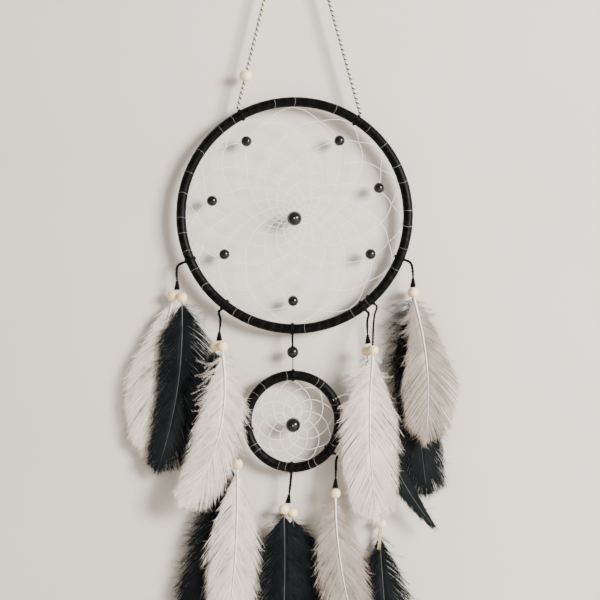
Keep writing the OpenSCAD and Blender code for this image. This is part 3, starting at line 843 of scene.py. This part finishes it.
# %% Frayed stub
def make_fray(place, length, count, seed):
    rng = random.Random(seed)
    lines, radii = [], []
    for _ in range(count):
        side, depth = rng.uniform(-1, 1), rng.uniform(-1, 1)
        bend, reach = rng.uniform(-0.6, 0.6), rng.uniform(0.7, 1.1)
        line = []
        for t in np.linspace(0, 1, 9):
            spread = 0.75 - 0.35 * t + 0.9 * t ** 3
            line.append(place + MM * np.array([
                side * spread + bend * math.sin(3 * t) - 1.2 * t, depth * spread, -length * reach * t]))
        lines.append(np.array(line))
        radii.append(np.linspace(0.34, 0.1, 9))
    return join_meshes("fray", [make_tubes(lines, radii, 6)])


fray_top = bead_places["long_right", "first"] - np.array([0, 0, 0.9 * WOOD_HALF])
place_piece("long_right_stub", make_fray(fray_top, 14, 34, 5), ["tan_fibre"], "long_right", "frayed_cord",
            "long_right_fray")

# %% [markdown]
# ## Link between the hoops
# Two plies of lace come down to the black bead, and a pale double thread goes on to the small
# hoop.

# %% Link
link_top = inside_hitch("link")
link_foot = start_of("small_hoop") - np.array([0, 0, 2.9 * MM])
link_bead = np.array(node_centre("link_bead"))
upper = smooth_line([link_top, (link_top + link_bead) / 2, link_bead], 0.35 * MM)
lower = smooth_line([link_bead, (link_foot + link_bead) / 2, link_foot], 0.35 * MM)
link_mesh = join_meshes(
    "link", make_twist(upper, 0.45, 0.4, 3.6, 2) + make_twist(lower, 0.32, 0.34, 2.6, 2), edge=0.25)
place_piece("link_lace", link_mesh, ["black_lace", "black_lace", "grey_thread", "grey_thread"], "link",
            "black_lace", "link_cord")
ball_bead("link_black_bead", "link_bead", (0, 0, 1), 1.15, "polished_black", "link", "black_bead")

# %% [markdown]
# ## Feathers
# A feather is a shaft with a row of barbs on each side. Near the tip the barbs lie close
# together and make a smooth vane. Near the quill they are loose and downy. Each barb is one thin
# tapered tube, flattened across the vane, so the vane has real edges that split and stray.
#
# A shaft is a quadratic curve through its base, middle and tip. A barb starts on the shaft,
# leans towards the tip and curls further as it goes, and is as long as the vane is wide there.

# %% Shaft and barbs
BARB_STEPS = 7


def shaft_curve(base, mid, tip, t):
    t = np.asarray(t, float)[..., None]
    bend = 2 * mid - (base + tip) / 2
    place = (1 - t) ** 2 * base + 2 * t * (1 - t) * bend + t * t * tip
    travel = (1 - t) * (bend - base) + t * (tip - bend)
    return place, travel / np.linalg.norm(travel, axis=-1)[..., None]


def vane_width(u, swell, tip_width, narrowing):
    """Share of the full half width at u, from 0 at the quill to 1 at the tip."""
    return np.minimum(1, (u / swell)) ** 0.75 * (1 - (1 - tip_width) * u ** narrowing)


def smooth_noise(rng, t, count):
    """A wandering value in -1..1 for each t, with count knots along the shaft."""
    knots = np.array([rng.uniform(-1, 1) for _ in range(count + 2)])
    return np.interp(t * count, np.arange(count + 2), knots)


def vane_lines(rng, shaft, side, width, look):
    base, mid, tip = shaft
    length = np.linalg.norm(tip - base)
    count = int(length / look["spacing"])
    u = np.linspace(0, 1, count)
    root_t = look["first"] + (look["last"] - look["first"]) * u
    root, travel = shaft_curve(base, mid, tip, root_t)
    out = np.column_stack([-travel[:, 2], np.zeros(count), travel[:, 0]]) * side
    clumps = max(4, int(length / look["clump"]))
    clump_phase = (u * clumps + 0.35 * smooth_noise(rng, u, clumps)) % 1.0 - 0.5
    lean = np.interp(u, [0, 0.45, 0.85, 1], look["lean"])
    lean = lean + look["split"] * clump_phase + look["stray"] * smooth_noise(rng, u, 9)
    lean = lean + np.array([rng.gauss(0, look["fuzz"]) for _ in range(count)])
    lean = np.radians(lean)
    reach = width * vane_width(u, look["swell"], look["tip_width"], look["narrowing"])
    reach = reach * (1 + look["ragged"] * smooth_noise(rng, u, clumps) + np.array(
        [rng.gauss(0, 0.03) + (rng.uniform(0.08, 0.3) if rng.random() < look["wisps"] else 0)
         for _ in range(count)]))
    s = np.linspace(0, 1, BARB_STEPS)
    curl = look["curl"] * (1 + np.array([rng.gauss(0, 0.15) for _ in range(count)]))
    angle = lean[:, None] * (1 - curl[:, None] * s[None, :] ** 1.3)
    sideways = np.concatenate(
        [np.zeros((count, 1)), np.cumsum(np.sin((angle[:, 1:] + angle[:, :-1]) / 2), axis=1)], axis=1)
    forwards = np.concatenate(
        [np.zeros((count, 1)), np.cumsum(np.cos((angle[:, 1:] + angle[:, :-1]) / 2), axis=1)], axis=1)
    longest = np.interp(u, [0, 0.72, 1], [0.45 * length, 0.36 * length, look["tip_length"]])
    size = np.minimum(reach / np.maximum(sideways[:, -1], 0.4), longest / BARB_STEPS)
    lines = (root[:, None, :] + size[:, None, None] * (
        sideways[:, :, None] * out[:, None, :] + forwards[:, :, None] * travel[:, None, :]))
    lines[:, :, 1] += look["cup"] * s[None, :] ** 2 * MM
    layer = 0.15 * clump_phase + np.array([rng.uniform(-0.15, 0.15) for _ in range(count)])
    lines[:, :, 1] += layer[:, None] * s[None, :] * MM
    taper = look["barb"] * (1 - 0.8 * s[None, :] ** 1.6) * np.ones((count, 1))
    tint = 0.5 + 0.2 * smooth_noise(rng, u, int(length / (1.4 * MM))) + 0.08 * clump_phase
    tint = tint + np.array([rng.gauss(0, 0.1) for _ in range(count)])
    tint = tint[:, None] + 0.25 * (s[None, :] - 0.3)
    return lines, taper, tint


# %% [markdown]
# Down is made the same way, with long fine barbs, and each of them carries short barbules of its
# own, which is what makes down look soft. It strays only a little in depth, because the next
# feather hangs about a millimetre away and passes close by when the strands swing.

# %% Down plumes
def down_lines(rng, shaft, side, look):
    base, mid, tip = shaft
    hairs, barbules = [], []
    for _ in range(look["plumes"][side > 0]):
        t = look["down_from"] + (look["down_to"] - look["down_from"]) * rng.random() ** 0.9
        root, travel = shaft_curve(base, mid, tip, t)
        out = np.array([-travel[2], 0, travel[0]]) * side
        lean = math.radians(rng.uniform(*look["down_lean"]))
        fullness = 0.7 + 0.3 * math.sin(math.pi * min(1, t / look["down_to"]))
        size = rng.uniform(0.55, 1.0) * look["down_length"][side > 0] * fullness
        bend = rng.gauss(-0.5, 0.5)
        wave, wave_count = rng.uniform(0.2, 0.9), rng.uniform(1.0, 2.4)
        start, depth = rng.uniform(0, 6.28), rng.uniform(-0.35, 0.35)
        line = [root]
        for step in range(9):
            s = (step + 1) / 9
            angle = lean + bend * s + wave * math.sin(wave_count * 6.28 * s + start) * 0.4
            line.append(line[-1] + size / 9 * (math.sin(angle) * out + math.cos(angle) * travel)
                        + np.array([0, depth * MM / 9, 0]))
        line = np.array(line)
        hairs.append(line)
        for side_sign in (-1, 1):
            for share in np.linspace(0.12, 0.97, look["barbules"]):
                share = share + rng.uniform(-0.02, 0.02)
                spot = min(8.999, max(0.0, share * 9))
                low = int(spot)
                here = line[low] + (line[low + 1] - line[low]) * (spot - low)
                along = (line[low + 1] - line[low]) / np.linalg.norm(line[low + 1] - line[low])
                across = np.cross(along, (0, 1, 0)) * side_sign
                reach = rng.uniform(0.6, 1.3) * look["barbule_length"] * (1.1 - 0.6 * share)
                lift = np.array([0, rng.uniform(-0.15, 0.15), 0])
                tip_point = here + reach * (0.75 * along + 0.65 * across + 0.5 * lift)
                bow = here + reach * 0.5 * (0.55 * along + 0.85 * across + 0.5 * lift)
                barbules.append(np.array([here, bow, tip_point]))
    return hairs, barbules


# %% [markdown]
# The finest ends of the barbs carry on past the vane as single hairs, which soften its edge.

# %% Hairs along the edge
def edge_hairs(rng, barbs, count):
    hairs = []
    for _ in range(count):
        barb = barbs[rng.randrange(len(barbs) // 14, len(barbs))]
        start = barb[rng.choice((3, 4, 5))]
        along = (barb[6] - barb[4]) / np.linalg.norm(barb[6] - barb[4])
        across = np.array([-along[2], 0, along[0]])
        reach, turn, bend = rng.uniform(2.5, 6.5) * MM, rng.gauss(0, 0.28), rng.gauss(0, 0.35)
        depth = rng.uniform(-0.2, 0.2) * MM
        hairs.append(np.array([
            start + reach * s * (along + (turn + bend * s) * across) + (0, depth * s, 0)
            for s in (0, 0.33, 0.66, 1)]))
    return hairs


# %% [markdown]
# A curve's bevel is round, but a barb is flat. All barbs of a feather lie close to one plane, so
# we draw them with their depth stretched, make the mesh, and squeeze it back. That leaves flat
# barbs and true places.

# %% Put a feather together
FLATTEN = 4.0


def make_feather(name, plane, base, mid, tip, left_width, right_width, look, seed):
    rng = random.Random(seed)
    shaft = (base, mid, tip)
    lines, radii, tints, edging = [], [], [], []
    for side, width in ((-1, left_width), (1, right_width)):
        some, taper, tint = vane_lines(rng, shaft, side, width, look)
        edging += edge_hairs(rng, some, look["hairs"])
        lines += list(some)
        radii += list(taper)
        tints += list(tint)
    stretched = [line * (1, FLATTEN, 1) for line in lines]
    vane = make_tubes(stretched, radii, 4, pointed=True)
    hairs, barbules = [], []
    for side in (-1, 1):
        more, fine = down_lines(rng, shaft, side, look)
        hairs += more
        barbules += fine
    down = make_tubes(hairs, [np.linspace(0.13, 0.05, 10)] * len(hairs), 4, pointed=True)
    fluff = make_tubes(barbules, [np.array([0.075, 0.06, 0.03])] * len(barbules), 4, pointed=True)
    edge = make_tubes(edging, [np.linspace(0.1, 0.035, 4)] * len(edging), 4, pointed=True)
    flat = np.empty(len(vane.vertices) * 3, np.float32)
    vane.vertices.foreach_get("co", flat)
    flat[1::3] /= FLATTEN
    vane.vertices.foreach_set("co", flat)
    shaft_t = np.linspace(0, look["shaft_end"], 30)
    middle, _ = shaft_curve(base, mid, tip, shaft_t)
    middle[0, 2] += 2.2 * MM
    middle[:, 1] -= 0.25 * MM
    quill = make_tubes([middle], [np.interp(shaft_t, [0, 0.15, 1], look["shaft_r"])], 8)
    tint_rows = np.array(tints)
    tint_values = np.concatenate([
        np.repeat(np.hstack([tint_rows[:, :1], tint_rows]).ravel(), 4),
        np.full(len(down.vertices) + len(fluff.vertices) + len(edge.vertices), look["down_tint"]),
        np.full(len(quill.vertices), 0.5)])
    mesh = join_meshes(name, [vane, down, fluff, edge, quill], tint=np.clip(tint_values, 0, 1))
    place = np.empty(len(mesh.vertices) * 3, np.float32)
    mesh.vertices.foreach_get("co", place)
    place[1::3] += plane
    mesh.vertices.foreach_set("co", place)
    return mesh


# %% [markdown]
# Each feather has its own look. A look is a small set of values: how close the barbs are, how far
# they lean, how soon the vane swells and how it narrows to the tip, how ragged its edge is, how
# many hairs soften that edge, and how much down it has.

# %% Looks
def look(**changes):
    values = dict(
        spacing=0.25 * MM, hairs=420, first=0.012, last=0.93, lean=(58, 36, 22, 5), curl=0.25, swell=0.2,
        tip_width=0.45, narrowing=5, tip_length=9 * MM, clump=3.2 * MM, split=2.2,
        stray=3.0, fuzz=2.0, ragged=0.05,
        wisps=0.1, cup=0.25, barb=0.23, plumes=(30, 30), down_from=0.0, down_to=0.34, down_lean=(30, 85),
        down_length=(19 * MM, 19 * MM), barbules=12, barbule_length=2.4 * MM, down_tint=0.8,
        shaft_end=0.93, shaft_r=(0.68, 0.55, 0.1))
    values.update(changes)
    return values


def black_look(**changes):
    return look(**{**dict(down_tint=0.35, shaft_r=(0.42, 0.34, 0.08), plumes=(75, 75), split=1.0,
                          spacing=0.22 * MM, hairs=900, fuzz=1.6, stray=2.2,
                          down_to=0.5, down_length=(21 * MM, 21 * MM)), **changes})


# strand, feather, bead, middle and tip from the strand's start, half widths, finish and look
FEATHERS = [
    ("outer_left", "white_feather", "first", (-17.5, -76), (-24.5, -130), 20, 15, "white",
     look(swell=0.3, wisps=0.25, plumes=(60, 20), down_to=0.6, tip_width=0.6)),
    ("outer_left", "black_feather", "second", (-2.5, -85), (-16.5, -141), 16, 22, "black",
     black_look(swell=0.12, lean=(66, 40, 22, 5), tip_width=0.3, narrowing=2.5, plumes=(60, 120))),
    ("inner_left", "white_feather", "first", (0.2, -84), (-26.8, -130), 19, 15, "white",
     look(wisps=0.3, fuzz=3.0, plumes=(75, 40), down_to=0.5, down_length=(27 * MM, 19 * MM))),
    ("inner_left", "black_feather", "second", (-6.8, -57), (-10.8, -88), 14, 14, "black", black_look()),
    ("inner_right", "white_feather", "first", (0.5, -85.1), (6, -139.1), 20, 20, "white",
     look(plumes=(95, 35), down_to=0.34, down_length=(28 * MM, 17 * MM), tip_width=0.6)),
    ("inner_right", "black_feather", "second", (13, -92.1), (48, -148.1), 12, 11, "black",
     black_look(plumes=(20, 20), tip_width=0.04, narrowing=1.6, split=0.6, fuzz=0.6, hairs=160,
                tip_length=4 * MM, lean=(44, 28, 16, 3))),
    ("long_right", "black_feather", "fray", (6.4, -213.7), (11.4, -261.7), 17, 18, "black",
     black_look(down_to=0.7, wisps=0.25)),
    ("outer_right", "white_feather", "first", (11.9, -71.4), (10.9, -118.4), 24, 23, "grey",
     look(swell=0.5, fuzz=1.2, wisps=0.05, plumes=(70, 20), lean=(54, 44, 32, 3), tip_width=0.7,
          tip_length=11 * MM, last=0.95,
          down_length=(18 * MM, 16 * MM))),
    ("outer_right", "black_feather", "second", (5.9, -93.4), (12.9, -159.4), 15, 16, "black",
     black_look(plumes=(190, 70), down_length=(28 * MM, 20 * MM), down_lean=(30, 105))),
    ("small_left", "white_feather", "first", (-1.9, -87), (-8.9, -147), 20, 15, "white",
     look(plumes=(40, 45), down_to=0.5, wisps=0.25, lean=(50, 30, 20, 5))),
    ("small_left", "black_feather", "second", (-17.9, -82), (-31.9, -140), 16, 14, "black",
     black_look(plumes=(230, 20), down_to=0.95, wisps=0.3, down_length=(27 * MM, 20 * MM),
                down_lean=(30, 100))),
    ("small_bottom", "front_feather", "first", (-4.7, -82.9), (-8.7, -139.9), 19, 17, "black",
     black_look(swell=0.06, wisps=0.2, plumes=(160, 70), down_to=0.7, down_lean=(30, 105))),
    ("small_bottom", "back_feather", "second", (8.3, -85.9), (14.3, -142.9), 16, 19, "black",
     black_look(swell=0.06, wisps=0.2, plumes=(60, 160), down_to=0.7, down_lean=(30, 105))),
    ("small_right", "white_feather", "first", (3.3, -77.3), (16.3, -130.3), 16, 16, "grey",
     look(plumes=(50, 50), down_to=0.6, wisps=0.3, fuzz=3.0, down_tint=0.6)),
]
faces = 0
for seed, (strand, part, bead, mid, tip, left, right, colour, own_look) in enumerate(FEATHERS):
    node = f"{strand}_{part}"
    low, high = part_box(node)
    plane = (low.y + high.y) / 2
    if bead == "fray":
        base = np.array([bead_places[strand, "first"][0] - 1 * MM, 0, high.z + 9 * MM])
    else:
        base = bead_places[strand, bead] * (1, 0, 1) - np.array([0, 0, WOOD_HALF + 0.3 * MM])
    start = start_of(strand)
    middle_point = np.array([start[0] + mid[0] * MM, 0, start[2] + mid[1] * MM])
    tip_point = np.array([start[0] + tip[0] * MM, 0, start[2] + tip[1] * MM])
    mesh = make_feather(
        node, plane, base, middle_point, tip_point, left * MM, right * MM, own_look, 100 + seed)
    kind = "black" if colour == "black" else "white"
    finish_names = [colour + "_barb"] * 4 + [kind + "_shaft"]
    place_piece(node + "_barbs", mesh, finish_names, strand, kind + "_feather", node)
    faces += len(mesh.polygons)
print("feathers:", len(FEATHERS), "faces:", faces)
